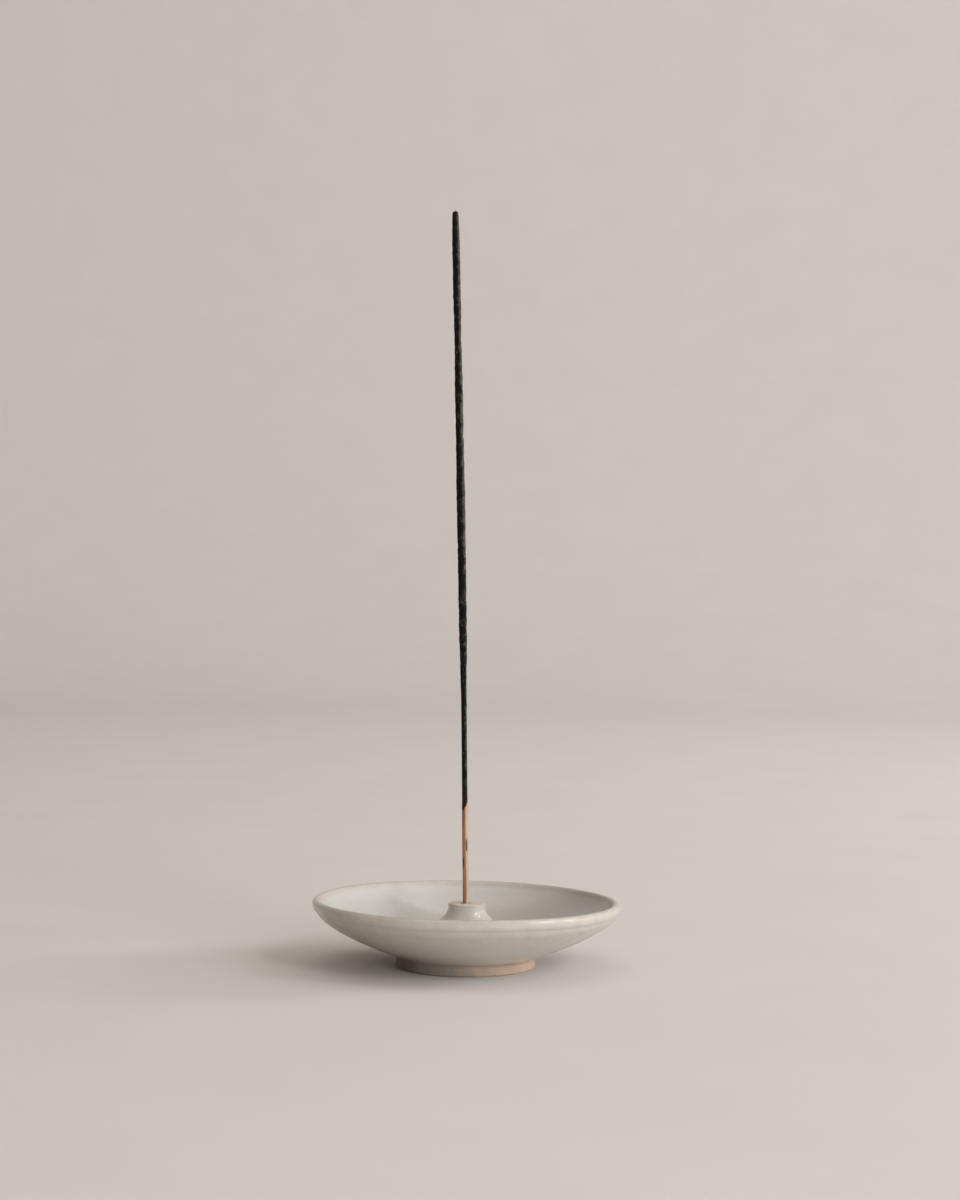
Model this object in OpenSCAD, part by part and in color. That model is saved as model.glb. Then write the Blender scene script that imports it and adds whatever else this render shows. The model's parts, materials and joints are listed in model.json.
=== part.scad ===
// Incense burner: a thrown stoneware saucer with a flared centre post, and the stick that stands in it.
// Millimetres. +Z is up, -Y is the front, and the origin is on the table, under the middle of the foot.

/* [Saucer] */
// Diameter over the rolled rim
rim_d = 96; // [88:1:110]
// Height of the rim's top above the table
rim_h = 20.8; // [19.5:0.1:24]
// Radius of the rolled rim's upper half
roll_r = 1.5; // [1.2:0.1:1.8]
// Height of the rolled rim's lower half, which hangs down a little
roll_drop = 2.1; // [1.5:0.1:2.4]
// Outside diameter of the foot ring
foot_d = 43.5; // [38:0.5:48]
// Height of the foot ring, up to where the glaze stops
foot_h = 2.7; // [2:0.1:3.2]
// Width of the foot ring's standing face
foot_w = 4; // [3:0.5:5]
// Depth of the turned recess inside the foot ring
recess_h = 2; // [1:0.1:2.5]
// Height of the floor's lowest ring, inside
valley_h = 7.6; // [7.2:0.1:8.4]

/* [Post] */
// Diameter of the straight collar at the post's top
collar_d = 11.6; // [10:0.2:13]
// Height of the post's top above the table
post_h = 19.6; // [19.2:0.1:22]
// Diameter of the post's flared skirt where it is luted to the floor
skirt_d = 32; // [28:1:36]
// Diameter of the hole for the stick
hole_d = 3.2; // [3.1:0.1:4]
// Depth of the hole
hole_depth = 12.5; // [11:0.1:12.6]

/* [Glaze] */
// Thickness of the glaze coat
glaze_t = 0.35; // [0.25:0.05:0.5]

/* [Stick] */
// Whole length of the stick
stick_l = 228.6; // [190:0.1:300]
// Length of the stick's tip that the incense covers
coat_l = 186; // [120:1:190]
// Width of the split bamboo, which is square with soft corners
core_w = 1.4; // [1.2:0.05:1.4]
// Turn of the bamboo's flats about its own length
core_turn = 55; // [0:1:90]
// Lean of the stick in its hole, to the left
lean = 1.2; // [1:0.1:1.5]

/* [Hidden] */
$fn = 96;

// Saucer
rim_r = rim_d / 2;
foot_r = foot_d / 2;
roll_c = [rim_r - roll_r, rim_h - roll_r];
roll_from = -70;             // where the outer wall runs into the roll, in degrees round its section
roll_to = 154;               // where the roll runs into the inner wall
foot_edge = 0.35;            // bevel round the foot's standing face
foot_taper = 0.25;           // how much the foot narrows up to the glaze line
glaze_down = 0.6;            // how far the glaze runs down the foot's side
fillet = [1.3, 0.4];         // hollow between the foot's side and the wall, out and up
recess_flare = 1.2;          // how much the recess narrows upwards
valley_r = 0.46 * rim_r;
lute_h = valley_h + 1.3;     // the raised seat under the post
bare = 0.08;                 // share of a coat's length over which it thins out to its edge
edge_t = 0.25;               // the coat's thickness at that edge, as a share of glaze_t

// Post
collar_r = collar_d / 2;
skirt_r = skirt_d / 2;
hole_r = hole_d / 2;
hole_floor = post_h - hole_depth;
collar_l = 1.2;              // straight part of the collar
waist = [collar_r + 3.05, post_h - 5.64];  // where the flank is half way down
waist_slope = 0.8;
countersink = 0.3;           // softened mouth of the hole
lip = 0.3;                   // softened outer edge of the bare top
bare_top = 0.3;              // bare clay down the collar's side

// Stick
core_soft = 0.3;             // radius on the bamboo's corners
seat_gap = 0.05;             // between the stick's cut end and the floor of the hole
stick_x = -0.3;              // the stick's foot, left of the middle
core_end = 4;                // incense beyond the bamboo's end, at the tip
cut_angle = 52;              // slant of the coat's lower end
coat_slice = 2.4;            // height that the slanted end takes up
// [distance below the tip, radius] of the rolled incense, which is thick down to its last quarter
coat_stations = [
    [0, 0.3], [0.12, 0.58], [0.4, 0.8], [1.2, 0.95], [3.5, 1.08], [9, 1.18], [28, 1.19], [41, 1.05],
    [47, 1.13], [58, 1.26], [66, 1.19], [80, 1.24], [86, 1.34], [96, 1.34], [104, 1.25], [112, 1.26],
    [126, 1.21], [133, 1.14], [141, 0.97], [158, 0.94], [175, 0.92], [190, 0.92]
];

function mix(a, b, t) = a + (b - a) * t;
function unit(v) = v / norm(v);
function bezier2(p, q, r, n) = [for (i = [0:n]) let (t = i / n) mix(mix(p, q, t), mix(q, r, t), t)];
function bezier3(p, q, r, s, n) =
    [for (i = [0:n]) let (t = i / n) mix(
        mix(mix(p, q, t), mix(q, r, t), t), mix(mix(q, r, t), mix(r, s, t), t), t)];
function roll_at(a) = roll_c + [roll_r * cos(a), (a < 0 ? roll_drop : roll_r) * sin(a)];
function tail(path) = [for (i = [1:len(path) - 1]) path[i]];
function reversed(path) = [for (i = [len(path) - 1:-1:0]) path[i]];

// A coat's inner side: every point of its outer side moved to the left of the path's direction,
// by the coat's thickness, which eases off to edge_t of itself towards both ends.
function along(path, i) = unit(path[min(i + 1, len(path) - 1)] - path[max(i - 1, 0)]);
function ease(s) = let (u = min(1, s / bare)) mix(edge_t, 1, u * u * (3 - 2 * u));
function coat_at(i, n) = glaze_t * ease(i / n) * ease(1 - i / n) / ease(1);
function under_glaze(path) = let (n = len(path) - 1)
    [for (i = [0:n]) let (d = along(path, i)) path[i] + coat_at(i, n) * [-d[1], d[0]]];

// The saucer's glazed side, from the foot's top, over the rim and down to the post's skirt.
wall_in = roll_at(roll_to);
foot_top = [foot_r - foot_taper, foot_h];
foot_side = foot_top + [0, glaze_down];
foot_hollow = bezier2(foot_top + [0, glaze_down / 2], foot_side, foot_side + fillet, 6);
outer_wall = concat([foot_top], foot_hollow,
    tail(bezier2(foot_side + fillet, [rim_r - 3.4, 0.567 * rim_h], roll_at(roll_from), 24)));
rolled_rim = [for (i = [0:24]) roll_at(mix(roll_from, roll_to, i / 24))];
inner_wall = bezier3(wall_in, wall_in - [1.55, 3.15], [valley_r + 8, valley_h], [valley_r, valley_h], 24);
flank_low = bezier2(waist, [waist[0] + (waist[1] - valley_h) / waist_slope, valley_h],
    [valley_r, valley_h], 40);
seat_rise = [for (p = reversed(flank_low)) if (p[0] >= skirt_r) p];
saucer_skin = concat(outer_wall, tail(rolled_rim), tail(inner_wall), tail(seat_rise));

// The post's glazed side, from under its bare top down to the skirt's edge.
flank_high = bezier2([collar_r, post_h - collar_l], [collar_r, waist[1] + waist_slope * 3.05], waist, 14);
post_skin = concat([for (z = [bare_top, mix(bare_top, collar_l, 0.5)]) [collar_r, post_h - z]],
    flank_high, tail([for (p = flank_low) if (p[0] < skirt_r) p]), [seat_rise[len(seat_rise) - 1]]);
post_clay = reversed(under_glaze(reversed(post_skin)));

module saucer_body() {
    clay_side = under_glaze(saucer_skin);
    color("#b79f8b") rotate_extrude() polygon(concat(
        [[0, hole_floor], [0, recess_h], [foot_r - foot_w - recess_flare, recess_h],
         [foot_r - foot_w, 0], [foot_r - foot_edge, 0], [foot_r, foot_edge]],
        clay_side,
        [[clay_side[len(clay_side) - 1][0], lute_h], [hole_r, lute_h], [hole_r, hole_floor]]));
}

module saucer_glaze() {
    color("#cfcdc4") rotate_extrude() polygon(concat(saucer_skin, reversed(under_glaze(saucer_skin))));
}

module centre_post() {
    color("#c9b8a4") rotate_extrude() polygon(concat(
        [[hole_r, lute_h], [hole_r, post_h - countersink], [hole_r + countersink, post_h],
         [collar_r - lip, post_h], [post_clay[0][0], post_h - lip]],
        post_clay,
        [[post_clay[len(post_clay) - 1][0], lute_h]]));
}

module post_glaze() {
    color("#cfcdc4") rotate_extrude() polygon(concat(post_skin, reversed(post_clay)));
}

// Stands a thing made about +Z in the hole, as the stick leans.
module in_hole() {
    translate([stick_x, 0, hole_floor + seat_gap]) rotate([0, -lean, 0]) children();
}

module core_section() {
    straight = core_w - 2 * core_soft;
    rotate(core_turn) {
        square([core_w, straight], center = true);
        square([straight, core_w], center = true);
        for (x = [-1, 1], y = [-1, 1]) translate([x, y] * straight / 2) circle(core_soft, $fn = 32);
    }
}

module core_bar() {
    linear_extrude(stick_l - core_end) core_section();
}

module bamboo_core() {
    color("#b98a63") in_hole() core_bar();
}

module coat_round() {
    below = coat_l + coat_slice;
    stations = [for (s = coat_stations) if (s[0] < below) s];
    end_r = lookup(below, coat_stations);
    rotate_extrude() polygon(concat(
        [[0, stick_l]], [for (s = stations) [s[1], stick_l - s[0]]],
        [[end_r, stick_l - below], [0, stick_l - below]]));
}

module incense_coat() {
    color("#1d1b19") in_hole() difference() {
        coat_round();
        core_bar();
        translate([0, 0, stick_l - coat_l]) rotate([0, cut_angle, 0]) translate([-5, -5, -10]) cube(10);
    }
}

saucer_body();
saucer_glaze();
centre_post();
post_glaze();
bamboo_core();
incense_coat();
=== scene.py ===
"""Incense burner: the looks of a thrown stoneware dish, its luted post and the stick that stands in it.

Shapes are worked out in millimetres in the CAD frame (+Z up, -Y to the front) and become metres as
each mesh is made. The CAD boxes give the driving sizes.
"""

import json
import math

import bpy
import numpy as np
from mathutils import Matrix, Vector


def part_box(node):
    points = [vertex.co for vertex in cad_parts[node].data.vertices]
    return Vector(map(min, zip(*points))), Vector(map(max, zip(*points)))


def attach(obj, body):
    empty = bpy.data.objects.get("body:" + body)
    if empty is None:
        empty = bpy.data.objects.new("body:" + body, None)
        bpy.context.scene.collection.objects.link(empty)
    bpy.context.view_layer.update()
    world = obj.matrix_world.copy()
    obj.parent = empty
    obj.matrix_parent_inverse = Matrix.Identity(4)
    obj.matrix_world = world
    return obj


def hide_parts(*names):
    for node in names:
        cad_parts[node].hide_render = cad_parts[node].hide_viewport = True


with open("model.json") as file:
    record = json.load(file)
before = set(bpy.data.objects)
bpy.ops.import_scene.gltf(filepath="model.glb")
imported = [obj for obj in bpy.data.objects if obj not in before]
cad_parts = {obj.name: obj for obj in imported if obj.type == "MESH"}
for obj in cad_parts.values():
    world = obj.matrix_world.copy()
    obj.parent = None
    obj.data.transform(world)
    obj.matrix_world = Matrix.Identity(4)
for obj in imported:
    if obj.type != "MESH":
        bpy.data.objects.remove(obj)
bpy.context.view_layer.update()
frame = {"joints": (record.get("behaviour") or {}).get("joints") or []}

MM = 0.001
TURN = 2 * math.pi


def top_mm(node):
    """A CAD node's highest corner, in millimetres."""
    return np.array(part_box(node)[1]) / MM


def low_mm(node):
    """A CAD node's lowest corner, in millimetres."""
    return np.array(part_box(node)[0]) / MM


# Sizes of the pottery, in millimetres
rim_r, _, rim_h = top_mm("saucer_glaze")
foot_h = low_mm("saucer_glaze")[2]
skirt_r, _, post_h = top_mm("centre_post")
foot_r = 0.453 * rim_r
foot_taper = 0.25
foot_w = 4.0
foot_edge = 0.45             # bevel round the standing face
recess_h = 2.0
recess_flare = 1.2           # how much the recess narrows upwards
valley_r = 0.46 * rim_r      # the floor's lowest ring
valley_h = 7.6
lute_h = low_mm("centre_post")[2]
roll_r = 1.5
roll_drop = 2.1              # height of the roll's lower half
glaze_down = 0.6             # how far the glaze runs down the foot's side
fillet = (1.3, 0.4)          # hollow between the foot's side and the wall, out and up
collar_r = 5.8
collar_l = 1.2
waist = np.array([collar_r + 3.05, post_h - 5.64])  # where the post's flank is half way down
waist_slope = 0.8
hole_r = 1.52
hole_floor = post_h - 12.5
countersink = 0.2
lip = 0.12                   # softened outer edge of the post's top
bare_top = 0.1               # bare clay down the collar's side
foot_slant = math.tan(math.radians(0.5))
post_shift = 0.12            # to the right
mouth_shift = np.array([-0.62, 0.3])
glaze_t = 0.35

# Sizes of the stick, in millimetres
stick_foot = np.array([-0.3, 0.0, low_mm("bamboo_core")[2]])
stick_axis = np.array(frame["joints"][0]["axis"])
stick_side = np.cross([0.0, 1.0, 0.0], stick_axis)
stick_l = (top_mm("incense_coat")[2] - stick_foot[2]) / stick_axis[2] - 0.2
coat_l = 186.0
core_w = 1.5
core_w_coated = 1.32
core_soft = 0.3
core_turn = math.radians(55)
core_twist = math.radians(13)
core_end = 4.0               # incense beyond the bamboo, at the tip
coat_slant = 1.25            # half the height that the coat's slanted lower end takes up
bow = 0.71                   # to the right, between the ends
drift = -0.3                 # to the left, at the tip
spring = 0.27                # to the right, at the foot


# ---------------------------------------------------------------- curves

def bezier(points, count):
    """count points along the Bezier curve of these control points."""
    level = [np.array(p, float)[None, :] for p in points]
    t = np.linspace(0, 1, count)[:, None]
    while len(level) > 1:
        level = [a + (b - a) * t for a, b in zip(level, level[1:])]
    return level[0]


def arc(centre, radius, start, end, count):
    """count points on a circle's arc, between two angles in degrees."""
    a = np.radians(np.linspace(start, end, count))
    return np.array(centre) + radius * np.stack([np.cos(a), np.sin(a)], 1)


def length_along(path):
    """Distance from the path's start to each of its points."""
    return np.concatenate([[0], np.cumsum(np.linalg.norm(np.diff(path, axis=0), axis=1))])


def resample(path, step):
    """The same path with points about step apart."""
    path = np.array(path, float)
    s = length_along(path)
    even = np.linspace(0, s[-1], max(2, round(s[-1] / step) + 1))
    return np.stack([np.interp(even, s, path[:, k]) for k in range(path.shape[1])], 1)


def soften(path, radius, step):
    """The path resampled, with its corners rounded over about radius. Its ends stay."""
    even = resample(path, step)
    reach = max(1, round(2 * radius / step))
    kernel = np.exp(-0.5 * (np.arange(-reach, reach + 1) * step / radius) ** 2)
    kernel /= kernel.sum()
    out = np.empty_like(even)
    for k in range(even.shape[1]):
        line = even[:, k]
        before = 2 * line[0] - line[reach:0:-1]
        after = 2 * line[-1] - line[-2:-reach - 2:-1]
        padded = np.concatenate([before, line, after])
        out[:, k] = np.convolve(padded, kernel, "valid")
    return out


def left_of(path):
    """Unit normals to the left of a path in the (radius, height) plane."""
    d = np.gradient(path, axis=0)
    d /= np.linalg.norm(d, axis=1)[:, None] + 1e-12
    return np.stack([-d[:, 1], d[:, 0]], 1)


def smoothstep(x, low, high):
    """0 below low and 1 above high, with a soft rise between them."""
    t = np.clip((x - low) / (high - low), 0, 1)
    return t * t * (3 - 2 * t)


def smooth_fall(x, low, high):
    """1 below low and 0 above high, with a soft fall between them."""
    return 1 - smoothstep(x, low, high)


def ripple(u, seed, shortest, longest, count=9):
    """A smooth random line of about unit size: sines with wavelengths between the two given."""
    rng = np.random.default_rng(seed)
    total = np.zeros_like(np.asarray(u, float))
    for wavelength in np.geomspace(shortest, longest, count):
        total += math.sqrt(wavelength / longest) * np.sin(TURN * (u / wavelength + rng.random()))
    return total / math.sqrt(count / 4)


# ---------------------------------------------------------------- meshes

def add_to_scene(name, data):
    """A new object in the scene that shows this mesh, light or camera."""
    thing = bpy.data.objects.new(name, data)
    bpy.context.scene.collection.objects.link(thing)
    return thing


def smooth_mesh(name, points, faces):
    """A smooth-shaded mesh from points in millimetres."""
    mesh = bpy.data.meshes.new(name)
    mesh.from_pydata((points * MM).tolist(), [], faces)
    mesh.polygons.foreach_set("use_smooth", [True] * len(mesh.polygons))
    return mesh


def add_piece(name, points, faces, slot, body, replaced, **values):
    """One piece of the object, with extra values stored on its points."""
    mesh = smooth_mesh(name, points, faces)
    for key, numbers in values.items():
        layer = mesh.attributes.new(key, "FLOAT", "POINT")
        layer.data.foreach_set("value", np.asarray(numbers, np.float32))
    mesh.validate()
    piece = add_to_scene(name, mesh)
    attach(piece, body)
    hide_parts(*replaced)
    return piece


def tube_faces(rings, around, ring_closed=False):
    """Quads between rings of points, each ring around points long."""
    faces = []
    last = rings if ring_closed else rings - 1
    for i in range(last):
        a, b = i * around, (i + 1) % rings * around
        faces += [(a + j, a + (j + 1) % around, b + (j + 1) % around, b + j) for j in range(around)]
    return faces


def capped_tube_faces(rings, around):
    """A tube's quads, and fans that close it onto two more points: the first end's, then the last end's."""
    first, last, top = rings * around, rings * around + 1, (rings - 1) * around
    faces = tube_faces(rings, around)
    faces += [(first, (j + 1) % around, j) for j in range(around)]
    faces += [(last, top + j, top + (j + 1) % around) for j in range(around)]
    return faces


def hand_made(r, z, angle):
    """The small unevenness of thrown clay: the rim is not quite round, the foot was trimmed at a slight
    slant to the rest, the post was luted on a little to the right, and its hole was drilled off centre."""
    w = smoothstep(r, 0.45 * rim_r, rim_r)
    radius = r * (1 + w * (0.0022 * np.cos(2 * angle + 0.6) + 0.001 * np.cos(3 * angle + 2.0)))
    x, y = radius * np.cos(angle), radius * np.sin(angle)
    waved = z + w * (0.07 * np.cos(2 * angle + 1.9) + 0.04 * np.cos(5 * angle))
    slant = foot_slant * smoothstep(z, 0.4, foot_h)
    x = x + slant * z + post_shift * smooth_fall(r, 4.0, 1.3 * skirt_r) * smoothstep(z, lute_h, post_h - 3)
    at_mouth = smooth_fall(r, 1.9, 3.4) * smoothstep(z, lute_h, post_h - 2)
    return np.stack([x + mouth_shift[0] * at_mouth, y + mouth_shift[1] * at_mouth, waved - slant * x], -1)


def lathe(name, outline, around, slot, replaced, relief, closed=False, **values):
    """Turns an outline of (radius, height) points about +Z. relief(s, angle) is added along the outline's
    right-hand normal. An open outline starts and ends on the axis. values hold one number per point."""
    s = length_along(outline)[:, None]
    angle = np.arange(around)[None, :] * TURN / around
    out = -left_of(outline)
    lift = relief(s, angle)
    r = outline[:, :1] + out[:, :1] * lift
    z = outline[:, 1:] + out[:, 1:] * lift
    grid = hand_made(r, z, angle + np.zeros_like(r))
    if closed:
        points = grid.reshape(-1, 3)
        faces = tube_faces(len(outline), around, ring_closed=True)
        spread = [np.repeat(v, around) for v in values.values()]
    else:
        inner = grid[1:-1]
        points = np.concatenate([inner.reshape(-1, 3), grid[0, :1], grid[-1, :1]])
        faces = capped_tube_faces(len(inner), around)
        spread = [np.concatenate([np.repeat(v[1:-1], around), v[:1], v[-1:]]) for v in values.values()]
    return add_piece(name, points, faces, slot, "holder", replaced, **dict(zip(values, spread)))


# ---------------------------------------------------------------- the pottery's outlines

roll_c = np.array([rim_r - roll_r, rim_h - roll_r])
roll_from, roll_to = -70, 154


def roll_at(degrees):
    """Points round the rolled rim's section, whose lower half hangs down a little."""
    a = np.radians(degrees)
    tall = np.where(a < 0, roll_drop, roll_r)
    return roll_c + np.stack([roll_r * np.cos(a), tall * np.sin(a)], -1)


def glazed_outline():
    """The glazed side, from above the foot, over the rim, across the floor and up the post."""
    rolled = roll_at(np.linspace(roll_from, roll_to, 40))
    valley = np.array([valley_r, valley_h])
    foot_top = np.array([foot_r - foot_taper, foot_h])
    side = foot_top + (0, glaze_down)
    hollow = bezier([foot_top + (0, glaze_down / 2), side, side + fillet], 8)
    outer = np.concatenate([[foot_top], hollow, bezier(
        [side + fillet, (rim_r - 3.4, 0.567 * rim_h), rolled[0]], 60)[1:]])
    inner = bezier([rolled[-1], rolled[-1] - (1.55, 3.15), valley + (8, 0), valley], 60)
    toe = (waist[0] + (waist[1] - valley_h) / waist_slope, valley_h)
    flank = bezier([valley, toe, waist], 50)
    neck = bezier([waist, (collar_r, waist[1] + 3.05 * waist_slope), (collar_r, post_h - collar_l)], 30)
    collar = np.array([[collar_r, post_h - bare_top]])
    parts = [outer, rolled[1:], inner[1:], flank[1:], neck[1:], collar]
    return soften(np.concatenate(parts), 0.22, 0.12)


def thin_out(path, step):
    """Fewer points where the path runs straight, as many as it has where it turns."""
    d = np.diff(path, axis=0)
    turn = np.abs(np.diff(np.unwrap(np.arctan2(d[:, 1], d[:, 0]))))
    keep, run, bent = [0], 0.0, 0.0
    for i in range(1, len(path) - 1):
        run += np.linalg.norm(d[i - 1])
        bent += turn[i - 1]
        if run >= step or bent > 0.12:
            keep.append(i)
            run, bent = 0.0, 0.0
    return path[keep + [len(path) - 1]]


def throwing_rings(s, angle):
    """The shallow spiral that fingers leave on the wheel."""
    swell = 0.55 + 0.45 * np.sin(s * 0.21 + 0.7)
    coarse = 0.026 * swell * np.sin(TURN * s / 3.1 - angle)
    fine = 0.008 * np.sin(TURN * s / 0.93 - 2 * angle + 1.3)
    return coarse + fine


def turning_lines(s, angle):
    """Fine scratches of a trimming tool in the bare clay."""
    lines = ripple(s, 11, 0.22, 0.9)
    return 0.016 * lines * (0.8 + 0.2 * np.cos(angle * 2 + s))


def length_from(path, point):
    """Straight distance of each path point from a point."""
    return np.linalg.norm(path - np.array(point), axis=1)


def build_glaze():
    skin = thin_out(glazed_outline(), 0.42)
    s = length_along(skin)
    height = skin[:, 1]
    at_top = s[np.argmax(height)]
    at_crease = np.argmin(length_from(skin, roll_at(roll_from)))
    from_end = np.minimum(s, s[-1] - s)
    # Glaze runs thin over the rim's edge and at its own ends. Up the outer wall and just below the roll, the
    # same browner mix is painted shade
    over_rim = smooth_fall(length_from(skin, roll_c + (0.6, 0.0)), 1.9, 3.0)
    thin = np.clip(over_rim * 0.9 + np.exp(-from_end / 0.35), 0, 1)
    wall_up = smoothstep(height, 6.5, 15) * (s < at_top)
    below_rim = smoothstep(height, 12.5, 16) * (s < s[at_crease])
    thin = np.clip(thin + 0.7 * wall_up + 0.4 * below_rim, 0, 1)
    # It pools in the valley and in the crease below the roll
    pool = np.exp(-((skin[:, 0] - valley_r * 0.92) / 6) ** 2) * (height < 9.5)
    pool = np.clip(pool + np.exp(-(length_from(skin, skin[at_crease]) / 0.7) ** 2), 0, 1)
    # The hidden side closes the coat. It stays smooth, and its values are all 0
    thick = glaze_t * (0.3 + 0.7 * smoothstep(from_end, 0, 1.6))
    hidden = (skin + left_of(skin) * thick[:, None])[::-4]

    def with_hidden(values):
        return np.concatenate([values, np.zeros(len(hidden))])

    fade = with_hidden(smoothstep(from_end, 0, 1.2))[:, None]
    return lathe(
        "glaze_skin", np.concatenate([skin, hidden]), 420, "glaze", ["saucer_glaze", "post_glaze"],
        relief=lambda s, a: throwing_rings(s, a) * fade, closed=True,
        thin=with_hidden(thin),
        pool=with_hidden(pool),
        outside=with_hidden(smooth_fall(s, at_top - 2, at_top + 1)),
        # Painted shade: the hollow just above the foot is darkened
        above_foot=with_hidden(smooth_fall(length_from(skin, (foot_r + 0.6, foot_h + 0.9)), 0.5, 2.4)),
        # Painted bounce light: the lower outer wall is made lighter and warmer
        low_wall=with_hidden(smooth_fall(height, 6.5, 11) * (s < s[-1] / 2)),
        on_post=with_hidden(smooth_fall(skin[:, 0], 11, 15)),
        rim_inside=with_hidden(smoothstep(s - at_top, 0.3, 1.1) * smooth_fall(s - at_top, 5, 9)))


def under_glaze(inset):
    """The glazed side of the clay, set in so far that it stays below the glaze's surface."""
    skin = resample(glazed_outline(), 0.8)
    return skin + left_of(skin) * inset


def build_saucer_clay():
    ring_in = foot_r - foot_w
    shown = soften(np.array([
        (0, recess_h), (ring_in - recess_flare, recess_h), (ring_in, 0), (foot_r - foot_edge, 0),
        (foot_r, foot_edge), (foot_r - foot_taper, foot_h)]), 0.12, 0.16)
    shown[0, 0] = 0
    shown[:, 1] = np.maximum(shown[:, 1], 0)
    covered = under_glaze(glaze_t * 0.5)
    seat = covered[:, 0] > skirt_r - 2
    covered = covered[:np.argmin(seat)]
    seat_h = lute_h - 0.2
    bored = [(skirt_r - 2.2, seat_h), (hole_r, seat_h), (hole_r, hole_floor), (0, hole_floor)]
    outline = np.concatenate([shown, covered[1:], bored])
    flat = np.abs(shown[:, 1]) < 0.02
    calm = np.zeros(len(outline))
    calm[:len(shown)] = np.where(flat, 0.35, 1) * smoothstep(np.arange(len(shown)), 0, 4)
    calm[len(shown) - 2:] = 0
    return lathe(
        "saucer_clay", outline, 360, "stoneware", ["saucer_body"],
        relief=lambda s, a: turning_lines(s, a) * calm[:, None])


def build_post_clay():
    bare = soften(np.array([
        (hole_r, lute_h), (hole_r, post_h - countersink), (hole_r + countersink, post_h),
        (collar_r - lip, post_h), (collar_r - 0.06, post_h - lip),
        (collar_r - 0.1, post_h - 1.0)]), 0.11, 0.12)
    covered = under_glaze(glaze_t * 0.6)[::-1]
    on_post = (covered[:, 0] < skirt_r - 0.5) & (covered[:, 1] < post_h - 1.2)
    covered = covered[1:][on_post[1:]]
    outline = np.concatenate([bare, covered, [(skirt_r - 0.5, lute_h)]])
    calm = np.zeros(len(outline))
    calm[:len(bare)] = smoothstep(bare[:, 1], post_h - 1.2, post_h - 0.9)
    wash = 0.9 * smoothstep(outline[:, 1], post_h - 3, post_h - 1)
    in_hole = smooth_fall(outline[:, 0], hole_r, hole_r + 0.14)
    # Painted shade: the inside of the hole is darkened
    soot = in_hole * smooth_fall(outline[:, 1], post_h - 0.12, post_h)
    return lathe(
        "post_clay", outline, 180, "stoneware", ["centre_post"],
        relief=lambda s, a: turning_lines(s + 40, a) * calm[:, None], closed=True, wash=wash, soot=soot)


# ---------------------------------------------------------------- the stick

def along_stick(h):
    """Points on the stick's middle line, h millimetres up from its foot: a slight bow to the right, and
    a foot that leans on the right side of the hole."""
    h = np.asarray(h, float)
    share = np.clip(h / stick_l, 0, 1)
    side = drift * share + bow * np.sin(math.pi * share ** 0.72) + spring * np.exp(-(h / 30) ** 2)
    return stick_foot + h[..., None] * stick_axis + side[..., None] * stick_side


def sweep(name, heights, radii, around, slot, replaced, **values):
    """Rings of points round the stick's line. heights and radii hold one number per point. Each ring starts
    at the right and runs over the back."""
    angle = np.arange(around) * TURN / around + np.zeros_like(radii)
    centre = along_stick(heights)
    back = np.array([0.0, 1.0, 0.0])
    grid = centre + radii[..., None] * (
        np.cos(angle)[..., None] * stick_side + np.sin(angle)[..., None] * back)
    ends = np.stack([along_stick(heights[0].mean()), along_stick(heights[-1].mean())])
    points = np.concatenate([grid.reshape(-1, 3), ends])
    faces = capped_tube_faces(len(radii), around)
    spread = {k: np.concatenate([v.ravel(), [v[0].mean(), v[-1].mean()]]) for k, v in values.items()}
    return add_piece(name, points, faces, slot, "stick", replaced, **spread)


def waves(h, angle, seed, count, turns, shortest, longest, size):
    """Random relief round the stick: waves that run round and along it."""
    rng = np.random.default_rng(seed)
    total = np.zeros(np.broadcast(h, angle).shape)
    for _ in range(count):
        lobes = rng.integers(turns[0], turns[1] + 1)
        wavelength = math.exp(rng.uniform(math.log(shortest), math.log(longest)))
        slope = rng.choice([-1, 1]) * TURN / wavelength
        total += np.cos(lobes * angle + slope * h + rng.uniform(0, TURN))
    return total * size / math.sqrt(count)


def soft_square(angle, width, corner):
    """Distance from the middle to a square with round corners, in each direction."""
    half = width / 2
    a = (angle + math.pi / 4) % (math.pi / 2) - math.pi / 4
    flat = half / np.cos(a)
    c = half - corner
    b = c * (np.cos(a) + np.sin(np.abs(a)))
    rounded = b + np.sqrt(np.maximum(corner ** 2 - 2 * c * c + b * b, 0))
    on_corner = flat * np.sin(np.abs(a)) > c
    return np.where(on_corner, rounded, flat)


def core_angle(h):
    """How far the bamboo's flats are turned, h millimetres up: the splint twists a little."""
    bare = stick_l - coat_l
    return core_turn + core_twist * np.clip((bare - h) / bare, 0, 1)


def core_width(h):
    """The splint's width, h millimetres up: it is a little thinner inside the incense."""
    return core_w + (core_w_coated - core_w) * smoothstep(h, stick_l - coat_l - 4, stick_l - coat_l + 4)


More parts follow.
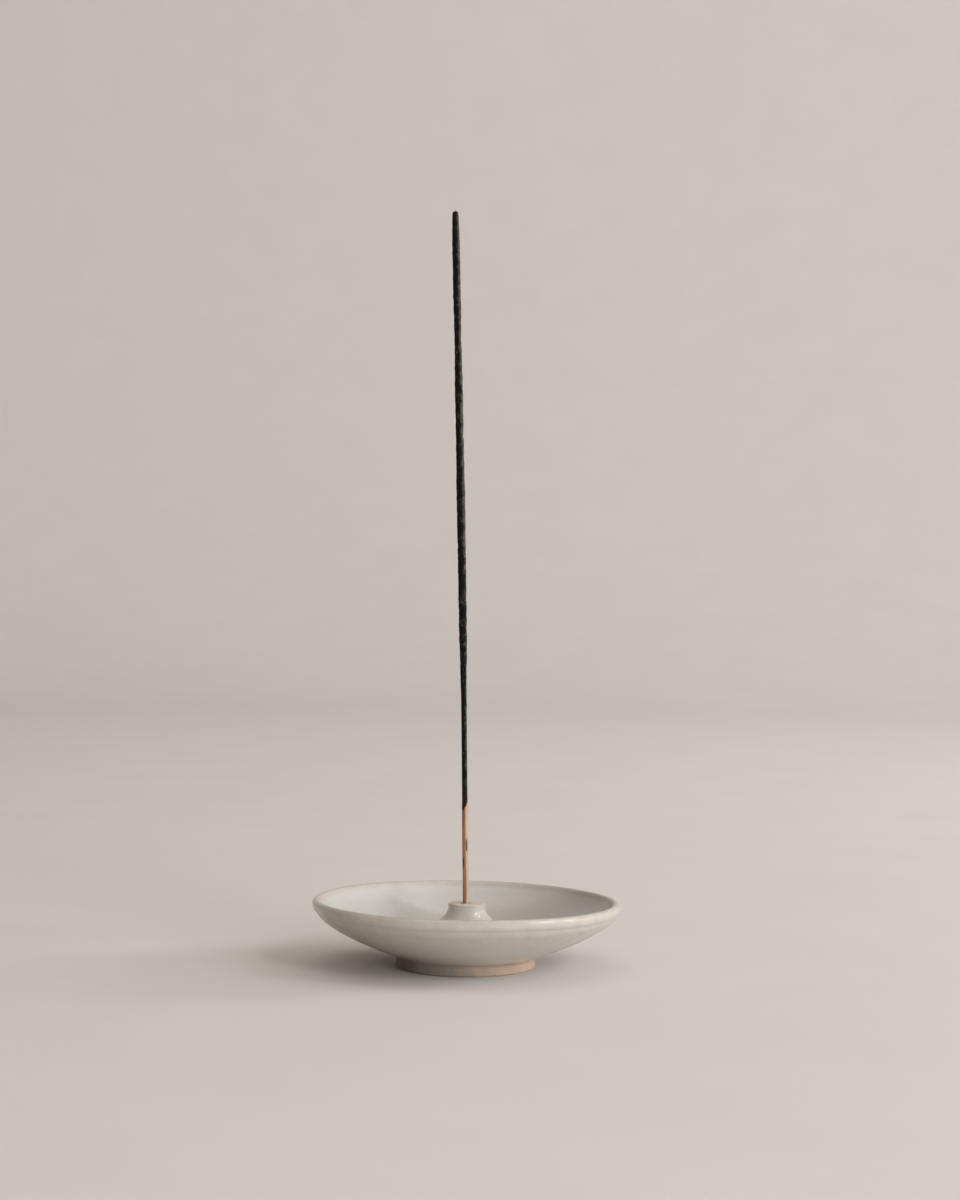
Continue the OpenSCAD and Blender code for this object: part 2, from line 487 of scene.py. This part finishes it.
def build_bamboo():
    around = 48
    top = stick_l - core_end
    shown = np.arange(0, stick_l - coat_l + 6, 0.35)
    inside = np.linspace(shown[-1] + 2, top, 60)
    heights = np.concatenate([[0.0, 0.0, 0.02], shown[1:], inside, [top]])[:, None]
    angle = np.arange(around)[None, :] * TURN / around
    radii = soft_square(angle - core_angle(heights), core_width(heights), core_soft)
    radii += waves(heights, angle, 5, 26, (5, 16), 30, 160, 0.016)
    radii += waves(heights, angle, 6, 8, (1, 3), 12, 50, 0.012)
    radii[0] *= 0.3
    radii[-1] *= 0.3
    heights = heights + np.zeros_like(radii)
    left = np.cos(angle - math.radians(200))
    # Darker just below the incense and more so on the shaded left: partly a stain, partly painted shade
    stain = smoothstep(heights, stick_l - coat_l - 5, stick_l - coat_l - 0.5)
    stain = stain * (0.15 + 0.85 * smoothstep(left, -0.2, 0.8))
    skin = smoothstep(np.cos(angle - core_angle(heights) + math.pi / 2), 0.7, 0.88)
    # Two dark patches, one to the right and one to the left
    scar = np.maximum(mark(heights, angle, 30.6, -56, 1.8, 25), mark(heights, angle, 25.2, 205, 1.8, 36))
    # Painted shade: the left side, away from the lamps, is darker
    dark = smoothstep(left, 0.5, 0.95) * (0.55 + 0.45 * smoothstep(np.abs(heights - 27), 5, 12))
    return sweep("bamboo_core_looks", heights, radii, around, "bamboo", ["bamboo_core"],
                 stain=stain, skin=skin, scar=scar, dark=dark)


def mark(heights, angle, at, towards, half_l, half_turn):
    """1 inside a narrow patch of the stick's side, from millimetres along it and degrees round it."""
    across = (np.degrees(angle) - towards + 180) % 360 - 180
    far = ((heights - at) / half_l) ** 4 + (across / half_turn) ** 4
    return smooth_fall(far, 0.7, 1.4)


# [distance below the tip, radius] of the rolled incense
coat_stations = np.array([
    (0, 0.3), (0.12, 0.58), (0.4, 0.8), (1.2, 0.95), (3.5, 1.08), (9, 1.18), (28, 1.19), (41, 1.05),
    (47, 1.13), (58, 1.26), (66, 1.19), (80, 1.24), (86, 1.34), (96, 1.34), (104, 1.25), (112, 1.26),
    (126, 1.22), (133, 1.21), (138, 1.11), (142, 1.0), (148, 0.9), (160, 0.79), (178, 0.73),
    (186, 0.76), (190, 0.76)])


def build_coat():
    around = 56
    angle = np.arange(around)[None, :] * TURN / around
    depth = np.concatenate([[0, 0.03, 0.1, 0.22, 0.4], np.arange(0.65, coat_l - 1.5, 0.24)])
    tail = np.linspace(coat_l - 1.5, coat_l, 9)[1:]
    depth = np.concatenate([depth, tail])[:, None]
    lower_end = smoothstep(depth, coat_l - 12, coat_l)
    ragged = waves(0, angle, 3, 6, (2, 7), 1, 2, 0.16)
    below = depth + lower_end * (ragged - coat_slant * np.cos(angle - 0.3))
    radii = np.interp(depth, coat_stations[:, 0], coat_stations[:, 1]) + np.zeros_like(below)
    radii += waves(below, angle, 21, 22, (0, 3), 5, 30, 0.036)
    radii += waves(below, angle, 22, 40, (1, 7), 1.4, 6, 0.034)
    radii += waves(below, angle, 23, 70, (3, 16), 0.5, 1.6, 0.02)
    radii += dents(below, angle)
    edge = smoothstep(coat_l - depth, 0, 0.5)
    heights = stick_l - below
    least = soft_square(angle - core_angle(heights), core_width(heights), core_soft) + 0.05
    cover = least * smoothstep(depth, core_end - 1, core_end + 1)
    radii = np.maximum(radii * smoothstep(depth, -0.6, 0.5), cover * (0.86 + 0.14 * edge))
    radii[-1] = 0.5
    tip = np.exp(-depth / 1.6) + np.zeros_like(radii)
    # Painted light: the right side, towards the lamps, gets more pale ash colour
    rubbed = smoothstep(np.cos(angle + 0.15), 0.15, 1.0) * (1 - 0.5 * smoothstep(below, 100, 125))
    worn = smoothstep(below, coat_l - 9, coat_l - 1)
    # Rings run upwards, so that faces look outwards
    return sweep("incense_coat_looks", heights[::-1], radii[::-1], around, "incense_paste",
                 ["incense_coat"], tip=tip[::-1], rubbed=rubbed[::-1], worn=worn[::-1])


def dents(below, angle):
    """Pits where grains fell out of the paste, and crumbs that stand proud of it."""
    rng = np.random.default_rng(77)
    total = np.zeros(np.broadcast(below, angle).shape)
    for _ in range(230):
        at = rng.uniform(2, coat_l - 3)
        turn = rng.uniform(0, TURN)
        size = rng.uniform(0.16, 0.5)
        depth = rng.choice([-1, -1, 1]) * rng.uniform(0.03, 0.12)
        rows = np.where(np.abs(below[:, 0] - at) < 3 * size + 1.5)[0]
        if len(rows) == 0:
            continue
        across = (angle - turn + math.pi) % TURN - math.pi
        far = ((below[rows] - at) / size) ** 2 + (across * 1.05 / size) ** 2
        total[rows] += depth * np.exp(-far)
    return total


# ---------------------------------------------------------------- materials

class Shade:
    """A material's node tree, with short calls for the nodes used here."""

    def __init__(self, name):
        self.material = bpy.data.materials.new(name)
        self.material.use_nodes = True
        self.tree = self.material.node_tree
        self.shader = self.tree.nodes["Principled BSDF"]
        place = self.tree.nodes.new("ShaderNodeTexCoord")
        self.place = place.outputs["Object"]

    def node(self, kind, inputs=(), **settings):
        """A new node. inputs maps socket names or numbers to values or to other nodes' outputs."""
        n = self.tree.nodes.new(kind)
        for key, value in settings.items():
            setattr(n, key, value)
        for key, value in dict(inputs).items():
            if isinstance(value, bpy.types.NodeSocket):
                self.tree.links.new(value, n.inputs[key])
            else:
                n.inputs[key].default_value = value
        return n

    def math(self, operation, *values):
        return self.node("ShaderNodeMath", enumerate(values), operation=operation).outputs[0]

    def scaled(self, x, y, z):
        """Object coordinates with each axis scaled."""
        inputs = {0: self.place, 1: (x, y, z)}
        return self.node("ShaderNodeVectorMath", inputs, operation="MULTIPLY").outputs[0]

    def noise(self, grain_mm, detail=2.0, where=None, rough=0.5):
        """Noise from 0 to 1 with grains of about this size."""
        inputs = {"Vector": where or self.place, "Scale": 1 / (grain_mm * MM), "Detail": detail,
                  "Roughness": rough}
        return self.node("ShaderNodeTexNoise", inputs).outputs["Fac"]

    def ramp(self, value, *stops):
        """A colour ramp. Each stop is (place, colour or grey)."""
        n = self.node("ShaderNodeValToRGB", {"Fac": value})
        ramp = n.color_ramp
        while len(ramp.elements) < len(stops):
            ramp.elements.new(0.5)
        for element, (at, colour) in zip(ramp.elements, stops):
            grey = isinstance(colour, (int, float))
            element.position = at
            element.color = (colour, colour, colour, 1) if grey else (*colour, 1)
        return n.outputs["Color"]

    def feed(self, socket, value):
        """Links a socket to another node's output, or sets it to a number or a colour."""
        if isinstance(value, bpy.types.NodeSocket):
            self.tree.links.new(value, socket)
        else:
            socket.default_value = (*value, 1) if isinstance(value, tuple) else value

    def mix(self, amount, a, b, blend="MIX"):
        """Colour a turning to colour b."""
        n = self.node("ShaderNodeMix", data_type="RGBA", blend_type=blend)
        for key, value in ((0, amount), (6, a), (7, b)):
            self.feed(n.inputs[key], value)
        return n.outputs[2]

    def value(self, name):
        """A number stored on the mesh's points."""
        return self.node("ShaderNodeAttribute", attribute_name=name).outputs["Fac"]

    def specks(self, spacing_mm, size, share, where=None):
        """1 inside small round specks. size is in spacings, share is how many cells have one."""
        inputs = {"Vector": where or self.place, "Scale": 1 / (spacing_mm * MM)}
        cells = self.node("ShaderNodeTexVoronoi", inputs)
        pick = self.node("ShaderNodeSeparateColor", {0: cells.outputs["Color"]}).outputs[0]
        chosen = self.math("LESS_THAN", pick, share)
        edge = self.node("ShaderNodeMapRange", {
            "Value": cells.outputs["Distance"], "From Min": size, "From Max": size * 0.55})
        return self.math("MULTIPLY", chosen, edge.outputs[0])

    def bump(self, height, distance_mm, strength=1.0, normal=None):
        inputs = {"Height": height, "Distance": distance_mm * MM, "Strength": strength}
        if normal:
            inputs["Normal"] = normal
        return self.node("ShaderNodeBump", inputs).outputs[0]

    def finish(self, **sockets):
        """Sets the shader's sockets: underscores in a name stand for spaces."""
        for key, value in sockets.items():
            self.feed(self.shader.inputs[key.replace("_", " ")], value)
        return self.material


def srgb(r, g, b):
    """A display colour, 0 to 255, as the linear colour that shaders use."""
    return tuple(((c / 255 + 0.055) / 1.055) ** 2.4 if c > 10 else c / 255 / 12.92 for c in (r, g, b))


def glaze_material():
    s = Shade("stoneware_glaze")
    broad = s.noise(26, 3)
    # The outside is warmer and lighter than the inside: partly the glaze's own tone, partly painted warm
    # bounce light from the floor
    inner = s.ramp(broad, (0.36, srgb(178, 175, 170)), (0.64, srgb(184, 180, 174)))
    outer = s.ramp(broad, (0.36, srgb(187, 183, 174)), (0.64, srgb(193, 187, 178)))
    colour = s.mix(s.value("outside"), inner, outer)
    # Painted bounce light: a lighter, warmer colour low on the outer wall
    colour = s.mix(s.value("low_wall"), colour, srgb(198, 192, 180))
    colour = s.mix(s.value("on_post"), colour, srgb(185, 179, 172))
    cloud = s.ramp(s.noise(5.5, 4, rough=0.6), (0.35, 0.0), (0.75, 1.0))
    colour = s.mix(s.math("MULTIPLY", cloud, 0.3), colour, srgb(176, 176, 166))
    # Thin glaze over the rim's edge and at the ends, plus painted shade up the outer wall and below the
    # roll: a browner, darker colour
    thin = s.math("MULTIPLY", s.value("thin"), s.ramp(s.noise(3.2, 3), (0.25, 0.45), (0.7, 1.0)))
    colour = s.mix(s.math("MULTIPLY", thin, 0.6), colour, srgb(158, 148, 134))
    colour = s.mix(s.math("MULTIPLY", s.value("pool"), 0.35), colour, srgb(176, 176, 169))
    # Painted shade in the hollow just above the foot
    colour = s.mix(s.math("MULTIPLY", s.value("above_foot"), 0.6), colour, srgb(132, 126, 113))
    mottle = s.ramp(s.noise(0.7, 3), (0.3, 0.93), (0.7, 1.0))
    colour = s.mix(1.0, colour, mottle, "MULTIPLY")
    iron = s.specks(2.6, 0.05, 0.16)
    colour = s.mix(s.math("MULTIPLY", iron, 0.5), colour, srgb(132, 104, 80))
    skin = s.bump(s.noise(2.4, 2), 0.05, 0.5)
    pores = s.bump(s.math("SUBTRACT", 1.0, s.specks(1.4, 0.06, 0.2)), 0.03, 0.6, skin)
    rough = s.ramp(s.noise(8, 3), (0.3, 0.36), (0.7, 0.48))
    gloss = s.math("SUBTRACT", 1.0, s.math("MULTIPLY", s.value("rim_inside"), 0.8))
    return s.finish(
        Base_Color=colour, Roughness=rough, Normal=pores, Specular_IOR_Level=0.3,
        Coat_Weight=gloss, Coat_Roughness=0.14)


def clay_material():
    s = Shade("bare_stoneware")
    radius = s.node("ShaderNodeVectorMath", {0: s.scaled(1, 1, 0)}, operation="LENGTH").outputs["Value"]
    axes = s.node("ShaderNodeSeparateXYZ", {0: s.place})
    rings = s.node("ShaderNodeCombineXYZ", {0: radius, 1: axes.outputs["Z"]}).outputs[0]
    lines = s.noise(0.55, 3, rings, 0.6)
    cloud = s.noise(4, 4)
    colour = s.ramp(cloud, (0.3, srgb(124, 116, 106)), (0.7, srgb(135, 126, 115)))
    # Warmer and lighter towards +X, the side the lamps light: partly a kiln flash, partly painted light. The
    # foot's far right end is lighter still: painted light
    towards_fire = s.math("MULTIPLY", axes.outputs["X"], 1 / (40 * MM))
    flash = s.ramp(s.math("ADD", towards_fire, s.noise(9, 3)), (0.3, 0.0), (0.95, 1.0))
    colour = s.mix(flash, colour, srgb(180, 155, 136))
    colour = s.mix(s.ramp(towards_fire, (0.4, 0.0), (0.56, 0.8)), colour, srgb(184, 166, 148))
    colour = s.mix(s.value("wash"), colour, srgb(208, 195, 182))
    colour = s.mix(1.0, colour, s.ramp(lines, (0.3, 0.84), (0.65, 1.0)), "MULTIPLY")
    sand = s.ramp(s.noise(0.22, 2), (0.35, 0.86), (0.6, 1.0))
    colour = s.mix(1.0, colour, sand, "MULTIPLY")
    iron = s.specks(0.9, 0.13, 0.14)
    colour = s.mix(s.math("MULTIPLY", iron, 0.6), colour, srgb(112, 76, 54))
    grog = s.specks(0.7, 0.16, 0.16, s.scaled(1.1, 1.3, 0.9))
    colour = s.mix(s.math("MULTIPLY", grog, 0.5), colour, srgb(232, 216, 198))
    # Painted shade inside the hole
    colour = s.mix(s.math("MULTIPLY", s.value("soot"), 0.85), colour, srgb(60, 44, 36))
    grains = s.bump(s.noise(0.16, 2), 0.03, 0.7)
    scored = s.bump(lines, 0.06, 0.6, grains)
    return s.finish(Base_Color=colour, Roughness=0.85, Normal=scored, Specular_IOR_Level=0.25)


def bamboo_material():
    s = Shade("split_bamboo")
    fibre_place = s.scaled(1, 1, 0.02)
    fibres = s.noise(0.22, 4, fibre_place, 0.65)
    flesh = s.ramp(
        fibres, (0.3, srgb(138, 98, 74)), (0.52, srgb(168, 125, 97)), (0.75, srgb(186, 146, 116)))
    rind = s.ramp(
        fibres, (0.3, srgb(150, 122, 102)), (0.52, srgb(170, 144, 124)), (0.75, srgb(182, 158, 138)))
    colour = s.mix(s.value("skin"), flesh, rind)
    patches = s.noise(1.6, 3, s.scaled(1, 1, 0.35))
    colour = s.mix(s.ramp(patches, (0.6, 0.0), (0.75, 0.6)), colour, srgb(150, 106, 80))
    pith = s.specks(0.8, 0.2, 0.22, s.scaled(1, 1, 0.16))
    colour = s.mix(s.math("MULTIPLY", pith, 0.45), colour, srgb(98, 66, 50))
    ragged = s.ramp(s.noise(0.5, 3, s.scaled(1, 1, 0.3)), (0.3, 0.75), (0.6, 1.0))
    colour = s.mix(s.math("MULTIPLY", s.value("scar"), ragged), colour, srgb(78, 56, 44))
    # Painted shade on the bamboo's left side
    colour = s.mix(s.math("MULTIPLY", s.value("dark"), 0.7), colour, srgb(96, 64, 48))
    # Stain below the incense, stronger on the left as painted shade
    stain = s.math("MULTIPLY", s.value("stain"), s.ramp(s.noise(0.9, 3), (0.3, 0.2), (0.7, 1.0)))
    colour = s.mix(s.math("MULTIPLY", stain, 0.8), colour, srgb(70, 48, 38))
    grooves = s.bump(fibres, 0.05, 0.8)
    return s.finish(Base_Color=colour, Roughness=0.6, Normal=grooves, Specular_IOR_Level=0.35)


def paste_material():
    s = Shade("incense_paste")
    powder = s.noise(0.35, 4, rough=0.65)
    colour = s.ramp(powder, (0.32, srgb(8, 7, 7)), (0.68, srgb(21, 19, 18)))
    # Pale ash at random, and more of it on the right side as painted light
    ash = s.math("ADD", s.noise(1.6, 4, rough=0.65), s.math("MULTIPLY", s.value("rubbed"), 0.3))
    grain = s.ramp(s.noise(0.28, 3, rough=0.7), (0.35, 0.3), (0.65, 1.0))
    dusty = s.math("MULTIPLY", s.ramp(ash, (0.56, 0.0), (0.95, 1.0)), grain)
    colour = s.mix(dusty, colour, srgb(104, 99, 90))
    chips = s.specks(0.5, 0.22, 0.08)
    colour = s.mix(s.math("MULTIPLY", chips, 0.85), colour, srgb(198, 188, 170))
    colour = s.mix(s.math("MULTIPLY", s.value("worn"), 0.6), colour, srgb(48, 35, 26))
    colour = s.mix(s.math("MULTIPLY", s.value("tip"), 0.4), colour, srgb(70, 34, 28))
    grains = s.bump(s.noise(0.14, 3, rough=0.7), 0.05, 0.8)
    lumps = s.bump(powder, 0.14, 0.8, grains)
    return s.finish(Base_Color=colour, Roughness=0.7, Normal=lumps, Specular_IOR_Level=0.12)


# ---------------------------------------------------------------- stage, light and camera

def build_stage():
    """A pale floor that sweeps up all round, well outside the object."""
    flat_r, bend, wall_h = 1650.0, 1300.0, 3000.0
    sweep_up = arc((flat_r, bend), bend, -90, 0, 24)
    outline = np.concatenate([[(0, 0)], np.linspace((40, 0), (flat_r, 0), 8), sweep_up[1:],
                              [(flat_r + bend, wall_h)]])
    around = 96
    angle = np.arange(around) * TURN / around
    rings = outline[1:]
    points = np.stack([rings[:, :1] * np.cos(angle), rings[:, :1] * np.sin(angle),
                       rings[:, 1:] + np.zeros(around)], -1).reshape(-1, 3)
    centre = len(points)
    points = np.concatenate([points, [(0, 0, 0)]])
    faces = [tuple(reversed(f)) for f in tube_faces(len(rings), around)]
    faces += [(centre, j, (j + 1) % around) for j in range(around)]
    floor = add_to_scene("floor", smooth_mesh("floor", points, faces))
    s = Shade("pale_floor")
    tone = s.ramp(s.noise(60, 2), (0.3, srgb(208, 203, 199)), (0.7, srgb(210, 205, 201)))
    floor.data.materials.append(s.finish(Base_Color=tone, Roughness=0.95, Specular_IOR_Level=0.1))


light_away = 1.6
daylight = (0.982, 1.0, 1.03)
room_tone = (1.09, 1.0, 0.91)


def aim(place, target):
    """A matrix that stands at place and looks at target, with +Z up."""
    back = np.array(place, float) - np.array(target, float)
    back /= np.linalg.norm(back)
    right = np.cross([0, 0, 1], back)
    right /= np.linalg.norm(right)
    up = np.cross(back, right)
    m = Matrix.Identity(4)
    for row in range(3):
        m[row][0], m[row][1], m[row][2], m[row][3] = right[row], up[row], back[row], place[row]
    return m


def area_light(name, place, target, width, tall, power, colour):
    """A soft rectangle at place that faces target."""
    light = bpy.data.lights.new(name, "AREA")
    light.shape = "RECTANGLE"
    light.size, light.size_y = width, tall
    light.energy = power
    light.color = colour
    lamp = add_to_scene(name, light)
    lamp.matrix_world = aim(place, target)
    return lamp


def upright_light(name, azimuth, height, width, tall, power, shines=True):
    """An upright rectangle of daylight, light_away metres off. Azimuth runs from the front to the right, in
    degrees. One that doesn't shine gives no reflections in the glaze."""
    a = math.radians(azimuth)
    place = (math.sin(a) * light_away, -math.cos(a) * light_away, height)
    lamp = area_light(name, place, (0, 0, height), width, tall, power, daylight)
    lamp.visible_glossy = shines


def build_light():
    """Two tall panes to the right, lower daylight that fills in round them, a ceiling and a lit backdrop."""
    upright_light("pane_front", 64, 1.35, 0.12, 1.5, 8.3)
    upright_light("pane_side", 87, 1.35, 0.12, 1.5, 7.0)
    upright_light("low_front", 34, 0.12, 0.36, 0.22, 13.5, shines=False)
    upright_light("mid_front", 42, 0.42, 0.36, 0.36, 4.5, shines=False)
    upright_light("high_front", 32, 0.95, 0.36, 0.6, 8.0, shines=False)
    upright_light("low_side", 104, 0.42, 0.36, 0.36, 10.0, shines=False)
    area_light("ceiling", (0, 0.01, 2.1), (0, 0, 0), 1.9, 1.9, 6.8, room_tone)
    area_light("backdrop", (1.1, 0.7, 1.9), (1.6, 2.6, 0.8), 2.4, 0.6, 22.5, daylight)
    world = bpy.data.worlds.new("room")
    world.use_nodes = True
    sky = world.node_tree.nodes["Background"]
    sky.inputs["Color"].default_value = (*room_tone, 1)
    sky.inputs["Strength"].default_value = 0.33
    bpy.context.scene.world = world


def build_camera():
    """A level long lens a little above the rim, as the object was seen."""
    camera = bpy.data.cameras.new("camera")
    camera.lens = 67.3
    camera.sensor_width = 36
    viewer = add_to_scene("camera", camera)
    viewer.location = (0.00346, -0.7, 0.1142)
    viewer.rotation_euler = (math.radians(90), math.radians(-0.55), 0)
    bpy.context.scene.camera = viewer
    bpy.context.scene.view_settings.view_transform = "Standard"


# ---------------------------------------------------------------- assembly

clay = clay_material()
build_glaze().data.materials.append(glaze_material())
build_saucer_clay().data.materials.append(clay)
build_post_clay().data.materials.append(clay)
build_bamboo().data.materials.append(bamboo_material())
build_coat().data.materials.append(paste_material())
build_stage()
build_light()
build_camera()
